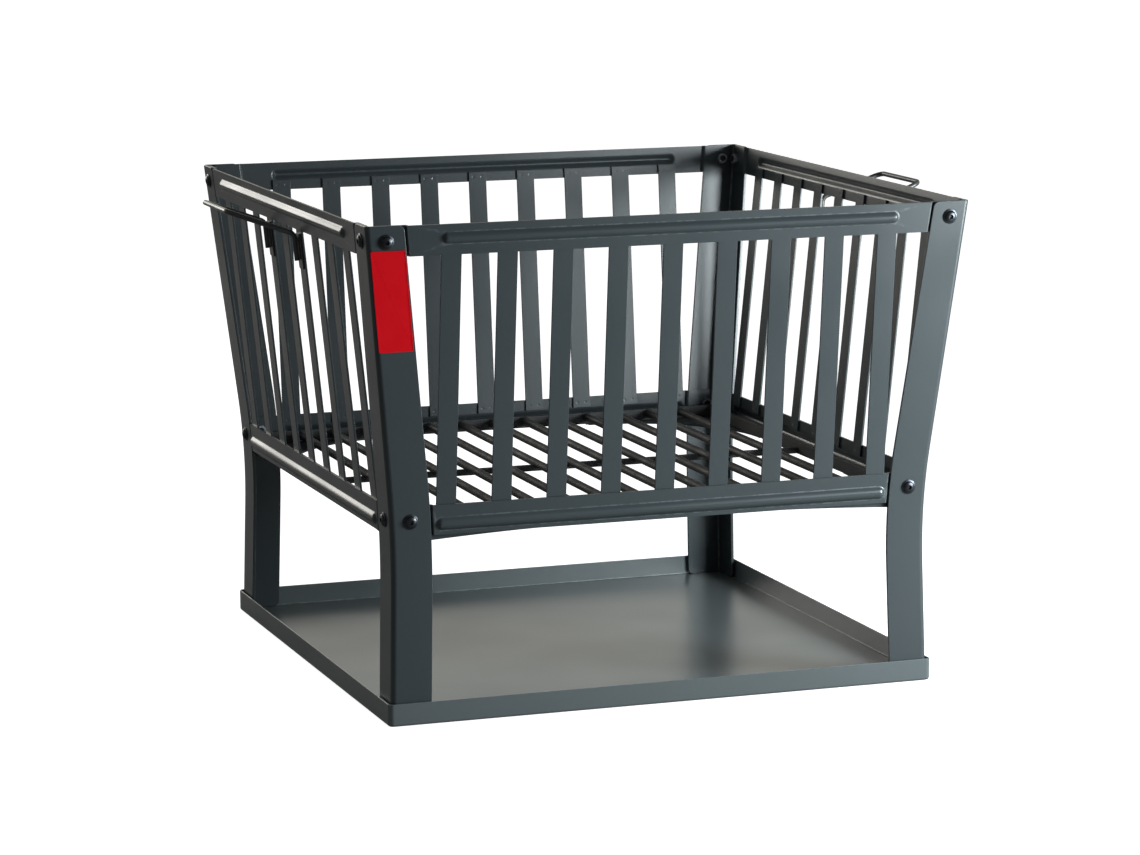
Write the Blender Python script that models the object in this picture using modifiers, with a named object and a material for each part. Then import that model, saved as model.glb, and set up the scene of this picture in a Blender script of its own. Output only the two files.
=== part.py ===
"""Fire pit with grate: a square slatted steel basket on four flared legs, standing in a floor tray.

Metres, +Z up. X runs to the right along the front, Y to the back, and the origin is
under the middle of the tray. One side and one corner are modelled. The other three
of each are the same shape, turned about Z by quarter turns.
"""
import math

import bmesh
import bpy
from mathutils import Matrix, Vector

# Driving dimensions
GAP = 0.0003              # clearance between neighbouring pieces
HEIGHT = 0.462            # top of the legs
TOP_HALF_WIDTH = 0.2935   # from the middle to a leg's outer face, at the top

TRAY_SIDE = 0.540
TRAY_RIM = 0.021
TRAY_SHEET = 0.0015
TRAY_CORNER = 0.005       # outer radius of the upright corners
TRAY_FOLD = 0.0025        # outer radius between floor and rim

LEG_SHEET = 0.003
LEG_FOLD = 0.005          # outer radius of the fold between the two flanges
LEG_LEAN = 0.105          # outward run per rise, above the bend
LEG_FOOT_LEAN = -0.025    # the same below the bend, where the feet turn out again
LEG_BEND_MIDDLE = 0.170   # height where the two straight stretches would meet
LEG_BEND_REACH = 0.055    # the bend runs this far above and below its middle
FLANGE = 0.0385           # width of a flange, up to the top of the bend
FLANGE_TOP = 0.036        # its width at the top of the leg
FLANGE_CORNER = 0.004     # radius of the flanges' free corners

RAIL_SHEET = 0.002
RAIL_WIDTH = 0.028
TOP_RAIL_MIDDLE = 0.4475
LOWER_RAIL_MIDDLE = 0.1885
RAIL_END_GAP = 0.0024     # open line between a rail's face and the leg flange
JOGGLE_RUN = 0.0017       # length of the step that takes the rail's end behind the flange
TAB_END_INSET = 0.009     # from the leg's outer face to the end of the rail's tab
BEAD_HALF_LENGTH = 0.2225
BEAD_END = 0.009          # length over which the pressed bead fades out
BEAD_DEPTH = 0.0035
TOP_BEAD_HALF_WIDTH = 0.006
TOP_BEAD_OFFSET = 0.0014   # bead's middle above the rail's middle line
LOWER_BEAD_HALF_WIDTH = 0.0065
LOWER_BEAD_OFFSET = -0.0039

SLAT_COUNT = 9
SLAT_PITCH = 0.053
SLAT_WIDTH = 0.019
SLAT_SHEET = 0.002
SLAT_LAP_TOP = 0.010      # overlap with the top rail
SLAT_LAP_LOWER = 0.011    # overlap with the lower rail
WELD_SINK = 0.00025       # how far a welded slat sinks into the rail

SCREW_HEAD_RADIUS = 0.007
SCREW_HEAD_HEIGHT = 0.0034
SCREW_COLLAR = 0.0008
SCREW_RADIUS = 0.003      # M6
SCREW_LENGTH = 0.012
SCREW_HOLE_RADIUS = 0.0034
SOCKET_FLATS = 0.004
SOCKET_DEPTH = 0.0019
NUT_FLATS = 0.010
NUT_HEIGHT = 0.005
NUT_HOLE_RADIUS = 0.0032
SCREW_SIDES = 12

BRACKET_TOP = 0.1765
BRACKET_SHEET = 0.002
BRACKET_REACH = 0.150     # from the corner along each side
BRACKET_ARM = 0.012       # width at the tip of an arm
BRACKET_LIP = 0.0075      # depth of the turned-down edge at the leg, fading to the tip
BRACKET_LIP_TIP = 0.001
BRACKET_LIP_STEPS = 4

GRATE_HALF = 0.248
GRATE_BAR_COUNT = 13
GRATE_BAR_RADIUS = 0.004
GRATE_BAR_SIDES = 10
GRATE_FRAME_HEIGHT = 0.012
GRATE_FRAME_SHEET = 0.005

HANDLE_WIRE = 0.0025      # radius
HANDLE_REACH = 0.355      # from the middle of the basket to the grip's centre line
HANDLE_HEIGHT = 0.452     # height of the grip's centre line
HANDLE_RISE = math.radians(20)
HANDLE_CORNER = 0.009     # centre line radius of the grip's corners
HANDLE_FOOT = 0.404       # height of the wire's lower ends
HANDLE_FOOT_RADIUS = 0.007
HANDLE_SLAT = 1           # the arms stand on the slats this many places from the middle
HANDLE_GRIP_HALF = 0.047  # they come a little closer together towards the grip
TAB_WIDTH = 0.014
TAB_LOW = 0.396
TAB_HIGH = 0.430
TAB_SHEET = 0.0015

BADGE_WIDTH = 0.0325
BADGE_LOW = 0.347
BADGE_HIGH = 0.4395
BADGE_SHEET = 0.001
BADGE_INSET = 0.0025      # from the leg's corner line to the badge

SIDES = ("front", "right", "back", "left")
CORNERS = ("front_left", "front_right", "back_right", "back_left")
QUARTER = math.pi / 2


def new_collection(name):
    collection = bpy.data.collections.new(name)
    bpy.context.scene.collection.children.link(collection)
    return collection


def new_material(name, colour, roughness, metallic):
    material = bpy.data.materials.new(name)
    material.use_nodes = True
    shader = material.node_tree.nodes["Principled BSDF"]
    shader.inputs["Base Color"].default_value = (*colour, 1)
    shader.inputs["Roughness"].default_value = roughness
    shader.inputs["Metallic"].default_value = metallic
    return material


def new_object(name, mesh, collection):
    piece = bpy.data.objects.new(name, mesh)
    collection.objects.link(piece)
    return piece


def mesh_from(bm, name):
    """The bmesh as mesh data, with its normals facing out."""
    bmesh.ops.recalc_face_normals(bm, faces=bm.faces)
    mesh = bpy.data.meshes.new(name)
    bm.to_mesh(mesh)
    bm.free()
    return mesh


def cutter(name, mesh):
    """A piece that only shapes others, or is welded into them."""
    tool = new_object(name, mesh, tools)
    tool.hide_render = True
    tool.display_type = "WIRE"
    return tool


def boolean(piece, other, operation):
    step = piece.modifiers.new(operation.title(), "BOOLEAN")
    step.operation = operation
    step.object = other
    step.solver = "EXACT"


def thicken(piece, thickness, offset=-1):
    """Give a sheet its thickness, behind the face that its normals point out of."""
    sheet = piece.modifiers.new("Sheet", "SOLIDIFY")
    sheet.thickness = thickness
    sheet.offset = offset
    sheet.use_even_offset = True


def finished_mesh(piece, name):
    """The shape with its modifiers, as mesh data that several pieces share."""
    bpy.context.view_layer.update()
    depsgraph = bpy.context.evaluated_depsgraph_get()
    mesh = bpy.data.meshes.new_from_object(piece.evaluated_get(depsgraph))
    mesh.name = name
    mesh.transform(piece.matrix_world)
    bpy.data.objects.remove(piece)
    return mesh


def smooth(mesh, angle=35):
    mesh.shade_smooth()
    mesh.set_sharp_from_angle(angle=math.radians(angle))


def piece_of(name, mesh, material, matrix=Matrix(), parent=None):
    """One finished part, in its own node."""
    if not mesh.materials:
        mesh.materials.append(material)
    piece = new_object(name, mesh, parts)
    piece.parent = parent
    piece.matrix_world = matrix
    return piece


def add_box(bm, size, matrix):
    bmesh.ops.create_cube(bm, size=1, matrix=matrix @ Matrix.Diagonal((*size, 1)))


def add_cylinder(bm, radius, depth, sides, matrix):
    bmesh.ops.create_cone(
        bm, cap_ends=True, segments=sides, radius1=radius, radius2=radius, depth=depth, matrix=matrix
    )


def turned(quarters):
    return Matrix.Rotation(quarters * QUARTER, 4, "Z")


# The basket's outline

def lean_at(z):
    """Outward run per rise of a leg's face at height z."""
    along = (z - LEG_BEND_MIDDLE + LEG_BEND_REACH) / (2 * LEG_BEND_REACH)
    return LEG_FOOT_LEAN + (LEG_LEAN - LEG_FOOT_LEAN) * min(max(along, 0), 1)


def half_width(z):
    """From the middle to the leg's outer face at height z: straight, a parabolic bend, straight."""
    bend_low = LEG_BEND_MIDDLE - LEG_BEND_REACH
    bend_high = LEG_BEND_MIDDLE + LEG_BEND_REACH
    if z >= bend_high:
        return TOP_HALF_WIDTH - LEG_LEAN * (HEIGHT - z)
    at_high = TOP_HALF_WIDTH - LEG_LEAN * (HEIGHT - bend_high)
    at_z = at_high - (lean_at(z) + LEG_LEAN) / 2 * (bend_high - max(z, bend_low))
    return at_z - LEG_FOOT_LEAN * max(bend_low - z, 0)


def flange_width(z):
    """The flanges narrow towards the top."""
    bend_high = LEG_BEND_MIDDLE + LEG_BEND_REACH
    along = max(z - bend_high, 0) / (HEIGHT - bend_high)
    return FLANGE + (FLANGE_TOP - FLANGE) * along


def flange_edge(z):
    """Distance from the middle of a side to the inner edge of the flanges at its ends."""
    return half_width(z) - flange_width(z)


def flange_middle(z):
    return half_width(z) - flange_width(z) / 2


def rail_face(middle, z, inset=0):
    """Y of the front rail's flat face at height z, or of the plane that lies inset behind it."""
    lean = lean_at(middle)
    return -half_width(middle) - lean * (z - middle) + inset * math.hypot(1, lean)


def on_front(x, z, inset=0):
    """Frame on the front side's outer face: its Z points out of the basket, its Y up the side."""
    lean = math.atan(lean_at(z))
    place = Matrix.Translation((x, rail_face(z, z, inset), z))
    return place @ Matrix.Rotation(QUARTER + lean, 4, "X")


SLAT_FOOT = LOWER_RAIL_MIDDLE + RAIL_WIDTH / 2 - SLAT_LAP_LOWER
SLAT_HEAD = TOP_RAIL_MIDDLE - RAIL_WIDTH / 2 + SLAT_LAP_TOP
SLAT_FOOT_Y = rail_face(LOWER_RAIL_MIDDLE, SLAT_FOOT, RAIL_SHEET - WELD_SINK)
SLAT_HEAD_Y = rail_face(TOP_RAIL_MIDDLE, SLAT_HEAD, RAIL_SHEET - WELD_SINK)
SLAT_LEAN = (SLAT_FOOT_Y - SLAT_HEAD_Y) / (SLAT_HEAD - SLAT_FOOT)


def slat_face(z):
    """Distance from the middle of the basket to a slat's outer face at height z."""
    return -SLAT_FOOT_Y + SLAT_LEAN * (z - SLAT_FOOT)


# Floor tray: one folded sheet with an upright rim and welded, rounded corners

def tray_mesh():
    bm = bmesh.new()
    middle = Matrix.Translation((0, 0, TRAY_RIM / 2))
    add_box(bm, (TRAY_SIDE, TRAY_SIDE, TRAY_RIM), middle)
    top = [face for face in bm.faces if face.normal.z > 0.5]
    bmesh.ops.delete(bm, geom=top, context="FACES_ONLY")
    upright = [edge for edge in bm.edges if abs(edge.verts[0].co.z - edge.verts[1].co.z) > TRAY_RIM / 2]
    bmesh.ops.bevel(bm, geom=upright, offset=TRAY_CORNER, segments=4, profile=0.5, affect="EDGES")
    folds = [edge for edge in bm.edges if max(vert.co.z for vert in edge.verts) < 1e-6]
    bmesh.ops.bevel(bm, geom=folds, offset=TRAY_FOLD, segments=2, profile=0.5, affect="EDGES")
    tray = new_object("tray_sheet", mesh_from(bm, "tray_sheet"), tools)
    thicken(tray, TRAY_SHEET)
    return finished_mesh(tray, "ash_tray")


# Leg: sheet folded to an L, bent outwards above the lower rails

def leg_outline(z):
    """The leg's outer faces at height z, from one free edge over the fold to the other."""
    corner = -half_width(z)
    width = flange_width(z)
    centre = corner + LEG_FOLD
    fold = [
        (centre - LEG_FOLD * math.cos(angle), centre - LEG_FOLD * math.sin(angle))
        for angle in (QUARTER * step / 3 for step in range(4))
    ]
    return [(corner, corner + width), *fold, (corner + width, corner)]


def leg_mesh():
    foot = TRAY_SHEET + GAP
    bend_low = LEG_BEND_MIDDLE - LEG_BEND_REACH
    bend_steps = 8
    bend = [bend_low + 2 * LEG_BEND_REACH * step / bend_steps for step in range(bend_steps + 1)]
    heights = [foot, *bend, HEIGHT]

    bm = bmesh.new()
    row = [bm.verts.new((*point, foot)) for point in leg_outline(foot)]
    edges = [bm.edges.new(pair) for pair in zip(row, row[1:])]
    for z in heights[1:]:
        raised = bmesh.ops.extrude_edge_only(bm, edges=edges)["geom"]
        edges = [item for item in raised if isinstance(item, bmesh.types.BMEdge)]
        row = sorted((item for item in raised if isinstance(item, bmesh.types.BMVert)),
                     key=lambda vert: vert.co.x - vert.co.y)
        for vert, point in zip(row, leg_outline(z)):
            vert.co = (*point, z)
    free = [vert for vert in bm.verts if len(vert.link_edges) == 2]
    bmesh.ops.bevel(bm, geom=free, offset=FLANGE_CORNER, segments=3, profile=0.5, affect="VERTICES")

    bmesh.ops.recalc_face_normals(bm, faces=bm.faces)
    bm.faces.ensure_lookup_table()
    if bm.faces[0].normal.dot(Vector((1, 1, 0))) > 0:
        bmesh.ops.reverse_faces(bm, faces=bm.faces)
    sheet = bpy.data.meshes.new("leg_sheet")
    bm.to_mesh(sheet)
    bm.free()
    leg = new_object("leg_sheet", sheet, tools)
    thicken(leg, LEG_SHEET)
    boolean(leg, screw_holes, "DIFFERENCE")
    boolean(leg, turned_screw_holes, "DIFFERENCE")
    return finished_mesh(leg, "leg")


# Side: two beaded rails and nine flat slats, welded into one panel

def rail_mesh(name, middle, bead_offset, bead_half_width):
    """A flat strip with a pressed bead, its ends stepped in behind the leg flanges."""
    bead_rows = [bead_offset + bead_half_width * step for step in (-1, -0.6, 0, 0.6, 1)]
    rows = [-RAIL_WIDTH / 2, *bead_rows, RAIL_WIDTH / 2]
    half_columns = ("crown", "bead_end", "face", "step", "tab")
    count = 2 * len(half_columns) - 1
    lean = lean_at(middle)
    cos_lean = 1 / math.hypot(1, lean)

    bm = bmesh.new()
    bmesh.ops.create_grid(bm, x_segments=count, y_segments=len(rows) - 1, size=1)
    for vert in bm.verts:
        across = round((vert.co.x + 1) / 2 * count)
        side = 1 if across > count / 2 else -1
        column = half_columns[abs(2 * across - count) // 2]
        v = rows[round((vert.co.y + 1) / 2 * (len(rows) - 1))]
        z = middle + v * cos_lean
        face_end = flange_edge(z) - RAIL_END_GAP
        x = {
            "crown": BEAD_HALF_LENGTH - BEAD_END,
            "bead_end": BEAD_HALF_LENGTH,
            "face": face_end,
            "step": face_end + JOGGLE_RUN,
            "tab": half_width(z) - TAB_END_INSET,
        }[column]
        outward = 0
        if column == "crown" and abs(v - bead_offset) < bead_half_width:
            outward = BEAD_DEPTH * math.cos(QUARTER * (v - bead_offset) / bead_half_width)
        if column in ("step", "tab"):
            outward = -(LEG_SHEET + GAP)
        vert.co = (side * x, v, outward)
    rail = new_object(name, bpy.data.meshes.new(name), tools)
    bm.to_mesh(rail.data)
    bm.free()
    rail.matrix_world = on_front(0, middle)
    thicken(rail, RAIL_SHEET)
    return cutter(name, finished_mesh(rail, name))


def slats_mesh():
    bm = bmesh.new()
    run = Vector((0, SLAT_HEAD_Y - SLAT_FOOT_Y, SLAT_HEAD - SLAT_FOOT))
    inward = Vector((0, run.z, -run.y)).normalized()
    for place in range(SLAT_COUNT):
        x = (place - (SLAT_COUNT - 1) / 2) * SLAT_PITCH
        middle = Vector((x, SLAT_FOOT_Y, SLAT_FOOT)) + run / 2 + inward * SLAT_SHEET / 2
        matrix = Matrix.Translation(middle) @ Matrix.Rotation(math.atan(SLAT_LEAN), 4, "X")
        add_box(bm, (SLAT_WIDTH, SLAT_SHEET, run.length), matrix)
    return mesh_from(bm, "slats")


def panel_mesh():
    top_rail = rail_mesh("top_rail", TOP_RAIL_MIDDLE, TOP_BEAD_OFFSET, TOP_BEAD_HALF_WIDTH)
    lower_rail = rail_mesh("lower_rail", LOWER_RAIL_MIDDLE, LOWER_BEAD_OFFSET, LOWER_BEAD_HALF_WIDTH)
    panel = new_object("panel", top_rail.data.copy(), tools)
    boolean(panel, cutter("slats", slats_mesh()), "UNION")
    boolean(panel, lower_rail, "UNION")
    boolean(panel, screw_holes, "DIFFERENCE")
    return finished_mesh(panel, "panel")


# Fasteners: M6 button head screws through flange and rail, with hex nuts inside

def screw_frames():
    """Each screw of the front side by name: frames on the outer face, Z pointing out."""
    return {
        f"{level}_{end}": on_front(side * flange_middle(middle), middle)
        for level, middle in (("upper", TOP_RAIL_MIDDLE), ("lower", LOWER_RAIL_MIDDLE))
        for end, side in (("left", -1), ("right", 1))
    }


def holes_mesh():
    bm = bmesh.new()
    depth = 4 * (LEG_SHEET + RAIL_SHEET)
    for frame in screw_frames().values():
        add_cylinder(bm, SCREW_HOLE_RADIUS, depth, SCREW_SIDES, frame)
    return mesh_from(bm, "screw_holes")


def screw_mesh():
    """A turned profile: low dome over a thin collar, and a plain shank."""
    dome = SCREW_HEAD_HEIGHT - SCREW_COLLAR
    shoulder = [
        (SCREW_HEAD_RADIUS * math.sin(angle), SCREW_COLLAR + dome * math.cos(angle))
        for angle in (QUARTER * step / 4 for step in range(5))
    ]
    profile = [
        *shoulder,
        (SCREW_HEAD_RADIUS, 0),
        (SCREW_RADIUS, 0),
        (SCREW_RADIUS, -SCREW_LENGTH),
        (0, -SCREW_LENGTH),
    ]
    mesh = bpy.data.meshes.new("screw_profile")
    mesh.from_pydata([(r, 0, z) for r, z in profile], [(i, i + 1) for i in range(len(profile) - 1)], [])
    screw = new_object("screw", mesh, tools)
    turn = screw.modifiers.new("Turn", "SCREW")
    turn.steps = SCREW_SIDES
    turn.render_steps = SCREW_SIDES
    turn.use_merge_vertices = True
    turn.merge_threshold = 0.00001

    bm = bmesh.new()
    place = Matrix.Translation((0, 0, SCREW_HEAD_HEIGHT))
    add_cylinder(bm, SOCKET_FLATS / math.sqrt(3), 2 * SOCKET_DEPTH, 6, place)
    boolean(screw, cutter("screw_socket", mesh_from(bm, "screw_socket")), "DIFFERENCE")
    mesh = finished_mesh(screw, "screw")
    mesh.transform(Matrix.Translation((0, 0, GAP)))
    smooth(mesh)
    return mesh


def nut_mesh():
    bm = bmesh.new()
    add_cylinder(bm, NUT_FLATS / math.sqrt(3), NUT_HEIGHT, 6, Matrix())
    nut = new_object("nut", mesh_from(bm, "nut"), tools)
    bm = bmesh.new()
    add_cylinder(bm, NUT_HOLE_RADIUS, 2 * NUT_HEIGHT, SCREW_SIDES, Matrix())
    boolean(nut, cutter("nut_thread", mesh_from(bm, "nut_thread")), "DIFFERENCE")
    mesh = finished_mesh(nut, "nut")
    behind = LEG_SHEET + GAP + RAIL_SHEET + GAP + NUT_HEIGHT / 2
    mesh.transform(Matrix.Translation((0, 0, -behind)))
    return mesh


# Corner bracket: an angled plate inside each leg, on which the grate lies

def bracket_mesh():
    """A plate with a hollow arc towards the middle, its straight edges turned down.

    It lies against the inside of the lower rails' ends.
    """
    edge = -(half_width(BRACKET_TOP) - LEG_SHEET - RAIL_SHEET - 3 * GAP)
    tip = edge + BRACKET_REACH
    radius = BRACKET_REACH - BRACKET_ARM
    arc = [
        (tip - radius * math.cos(angle), tip - radius * math.sin(angle))
        for angle in (QUARTER * step / 8 for step in range(9))
    ]
    outline = [
        (edge + LEG_FOLD, edge),
        (edge, edge + LEG_FOLD),
        (edge, tip),
        *arc,
        (tip, edge),
    ]
    curve = bpy.data.curves.new("bracket_plate", "CURVE")
    curve.dimensions = "2D"
    curve.fill_mode = "BOTH"
    curve.extrude = BRACKET_SHEET / 2
    spline = curve.splines.new("POLY")
    spline.points.add(len(outline) - 1)
    for point, (x, y) in zip(spline.points, outline):
        point.co = (x, y, 0, 1)
    spline.use_cyclic_u = True
    flat = new_object("bracket_plate", curve, tools)
    plate_mesh = finished_mesh(flat, "bracket_plate")
    bm = bmesh.new()
    bm.from_mesh(plate_mesh)
    bmesh.ops.remove_doubles(bm, verts=bm.verts, dist=1e-6)
    bmesh.ops.translate(bm, verts=bm.verts, vec=(0, 0, BRACKET_TOP - BRACKET_SHEET / 2))
    plate = new_object("bracket", mesh_from(bm, "bracket"), tools)
    boolean(plate, cutter("bracket_lip", lip_mesh(edge, tip)), "UNION")
    other = cutter("bracket_other_lip", lip_mesh(edge, tip))
    other.data.transform(Matrix(((0, 1, 0, 0), (1, 0, 0, 0), (0, 0, 1, 0), (0, 0, 0, 1))))
    other.data.flip_normals()
    boolean(plate, other, "UNION")
    return finished_mesh(plate, "bracket")


def lip_mesh(edge, tip):
    """The turned-down edge along X, its depth fading to the arm's tip, sunk into the plate."""
    start = edge + LEG_FOLD + BRACKET_SHEET
    end = tip - BRACKET_SHEET / 2
    plate_middle = BRACKET_TOP - BRACKET_SHEET / 2
    middle = Vector(((start + end) / 2, edge + GAP + BRACKET_SHEET / 2, plate_middle - BRACKET_SHEET / 2))
    bm = bmesh.new()
    add_box(bm, (end - start, BRACKET_SHEET, BRACKET_SHEET), Matrix.Translation(middle))
    long_edges = [edge for edge in bm.edges if edge.calc_length() > 2 * BRACKET_SHEET]
    bmesh.ops.subdivide_edges(bm, edges=long_edges, cuts=BRACKET_LIP_STEPS - 1)
    for vert in bm.verts:
        if vert.co.z < middle.z:
            left = max((end - vert.co.x) / (end - start), 0)
            vert.co.z -= BRACKET_LIP_TIP + (BRACKET_LIP - BRACKET_LIP_TIP) * left ** 1.5
    return mesh_from(bm, "bracket_lip")


# Fire grate: round bars welded into a flat-bar frame, lifts out

def grate_mesh():
    low = BRACKET_TOP + GAP
    middle = low + GRATE_FRAME_HEIGHT / 2
    centre = Matrix.Translation((0, 0, middle))
    inner = 2 * (GRATE_HALF - GRATE_FRAME_SHEET)

    bm = bmesh.new()
    add_box(bm, (2 * GRATE_HALF, 2 * GRATE_HALF, GRATE_FRAME_HEIGHT), centre)
    grate = new_object("grate_frame", mesh_from(bm, "grate_frame"), tools)
    bm = bmesh.new()
    add_box(bm, (inner, inner, 2 * GRATE_FRAME_HEIGHT), centre)
    boolean(grate, cutter("grate_opening", mesh_from(bm, "grate_opening")), "DIFFERENCE")

    bm = bmesh.new()
    length = 2 * GRATE_HALF - GRATE_FRAME_SHEET
    pitch = inner / (GRATE_BAR_COUNT + 1)
    lie = Matrix.Rotation(QUARTER, 4, "X")
    height = low + GRATE_FRAME_HEIGHT - GRATE_BAR_RADIUS - GAP
    for bar in range(GRATE_BAR_COUNT):
        x = (bar - (GRATE_BAR_COUNT - 1) / 2) * pitch
        add_cylinder(bm, GRATE_BAR_RADIUS, length, GRATE_BAR_SIDES, Matrix.Translation((x, 0, height)) @ lie)
    boolean(grate, cutter("grate_bars", mesh_from(bm, "grate_bars")), "UNION")

    bm = bmesh.new()
    stay = GRATE_FRAME_HEIGHT / 2
    add_box(bm, (length, GRATE_FRAME_SHEET, stay), Matrix.Translation((0, 0, low + stay / 2 + GAP)))
    boolean(grate, cutter("grate_stay", mesh_from(bm, "grate_stay")), "UNION")
    return finished_mesh(grate, "fire_grate")


# Handles: a bent wire on two tabs, on the left and on the right side

def filleted(corners, radii, steps=5):
    """Points of a polyline whose inner corners are rounded by arcs."""
    points = [corners[0]]
    for before, corner, after, radius in zip(corners, corners[1:], corners[2:], radii):
        back = (before - corner).normalized()
        ahead = (after - corner).normalized()
        half = back.angle(ahead) / 2
        centre = corner + (back + ahead).normalized() * radius / math.sin(half)
        start = corner + back * radius / math.tan(half) - centre
        end = corner + ahead * radius / math.tan(half) - centre
        arms = (start.slerp(end, step / steps).normalized() for step in range(steps + 1))
        points += [centre + arm * radius for arm in arms]
    return points + [corners[-1]]


def handle_mesh():
    """Wire on the right side: up the tab, outwards to the grip, along it, and back."""
    stand = TAB_SHEET + 2 * GAP + HANDLE_WIRE
    y = HANDLE_SLAT * SLAT_PITCH
    foot = Vector((slat_face(HANDLE_FOOT) + stand, -y, HANDLE_FOOT))
    grip = Vector((HANDLE_REACH, -HANDLE_GRIP_HALF, HANDLE_HEIGHT))
    slope = math.tan(HANDLE_RISE)
    bend_z = (grip.z - slope * (grip.x - foot.x + SLAT_LEAN * foot.z)) / (1 - slope * SLAT_LEAN)
    bend = Vector((slat_face(bend_z) + stand, -y, bend_z))
    near = [foot, bend, grip]
    far = [Vector((point.x, -point.y, point.z)) for point in reversed(near)]
    radii = (HANDLE_FOOT_RADIUS, HANDLE_CORNER, HANDLE_CORNER, HANDLE_FOOT_RADIUS)
    route = filleted(near + far, radii)

    curve = bpy.data.curves.new("handle", "CURVE")
    curve.dimensions = "3D"
    curve.bevel_depth = HANDLE_WIRE
    curve.bevel_resolution = 2
    curve.use_fill_caps = True
    spline = curve.splines.new("POLY")
    spline.points.add(len(route) - 1)
    for point, place in zip(spline.points, route):
        point.co = (*place, 1)
    mesh = finished_mesh(new_object("handle", curve, tools), "handle")
    bm = bmesh.new()
    bm.from_mesh(mesh)
    bmesh.ops.remove_doubles(bm, verts=bm.verts, dist=1e-6)
    mesh = mesh_from(bm, "handle")
    smooth(mesh, 50)
    return mesh


def tab_mesh():
    """A small plate on the outer face of a slat of the right side, at Y = 0."""
    middle = (TAB_LOW + TAB_HIGH) / 2
    bm = bmesh.new()
    x = slat_face(middle) + (GAP + TAB_SHEET / 2) * math.hypot(1, SLAT_LEAN)
    matrix = Matrix.Translation((x, 0, middle)) @ Matrix.Rotation(math.atan(SLAT_LEAN), 4, "Y")
    height = (TAB_HIGH - TAB_LOW) * math.hypot(1, SLAT_LEAN)
    add_box(bm, (TAB_SHEET, TAB_WIDTH, height), matrix)
    return mesh_from(bm, "handle_tab")


# Badge: a plain plate on the front left leg

def badge_mesh():
    """It follows the leg's corner line, so it is a slanted rectangle."""
    bm = bmesh.new()
    add_box(bm, (1, 1, 1), Matrix())
    for vert in bm.verts:
        z = BADGE_LOW if vert.co.z < 0 else BADGE_HIGH
        x = -half_width(z) + BADGE_INSET + (0 if vert.co.x < 0 else BADGE_WIDTH)
        outward = GAP + (BADGE_SHEET if vert.co.y < 0 else 0)
        vert.co = (x, rail_face(z, z, -outward), z)
    return mesh_from(bm, "badge_plate")


for leftover in list(bpy.data.objects):
    bpy.data.objects.remove(leftover)

parts = new_collection("fire_pit_with_grate")
tools = new_collection("fire_pit_with_grate_tools")

anthracite = new_material("anthracite_powder_coat", (0.060, 0.070, 0.078), 0.42, 0.0)
tray_coat = new_material("tray_powder_coat", (0.070, 0.080, 0.085), 0.38, 0.0)
grate_coat = new_material("black_heat_coat", (0.025, 0.025, 0.026), 0.60, 0.0)
black_screw = new_material("black_screw_steel", (0.030, 0.032, 0.036), 0.28, 0.8)
zinc = new_material("zinc_plated_steel", (0.55, 0.56, 0.58), 0.35, 1.0)
wire_coat = new_material("wire_powder_coat", (0.085, 0.085, 0.080), 0.40, 0.0)
badge_red = new_material("badge_red", (0.55, 0.008, 0.012), 0.35, 0.0)

screw_holes = cutter("screw_holes", holes_mesh())
turned_screw_holes = cutter("turned_screw_holes", screw_holes.data.copy())
turned_screw_holes.data.transform(turned(-1))

basket = bpy.data.objects.new("basket", None)
parts.objects.link(basket)

piece_of("ash_tray", tray_mesh(), tray_coat)

leg = leg_mesh()
panel = panel_mesh()
bracket = bracket_mesh()
for quarter, (side, corner) in enumerate(zip(SIDES, CORNERS)):
    piece_of(f"{corner}_leg", leg, anthracite, turned(quarter), basket)
    piece_of(f"{side}_panel", panel, anthracite, turned(quarter), basket)
    piece_of(f"{corner}_grate_bracket", bracket, anthracite, turned(quarter), basket)

screw = screw_mesh()
nut = nut_mesh()
for quarter, side in enumerate(SIDES):
    for place, frame in screw_frames().items():
        matrix = turned(quarter) @ frame
        piece_of(f"{side}_screw_{place}", screw, black_screw, matrix, basket)
        piece_of(f"{side}_nut_{place}", nut, zinc, matrix, basket)

handle = handle_mesh()
tab = tab_mesh()
for side, quarter in (("right", 0), ("left", 2)):
    piece_of(f"{side}_handle", handle, wire_coat, turned(quarter), basket)
    for end, step in (("front", -1), ("back", 1)):
        along = step if side == "right" else -step
        shift = Matrix.Translation((0, along * HANDLE_SLAT * SLAT_PITCH, 0))
        piece_of(f"{side}_handle_{end}_tab", tab, wire_coat, turned(quarter) @ shift, basket)

piece_of("badge_plate", badge_mesh(), badge_red, parent=basket)
piece_of("fire_grate", grate_mesh(), grate_coat)
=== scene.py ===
"""Looks of the fire pit with grate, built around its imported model, in metres.

X runs to the right along the front, Y to the back, Z up. The basket's four sides and four
corners are alike, so each is modelled once, at the front or front left, and turned.
"""
import math

import bmesh
import bpy
from mathutils import Matrix, Vector


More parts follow.
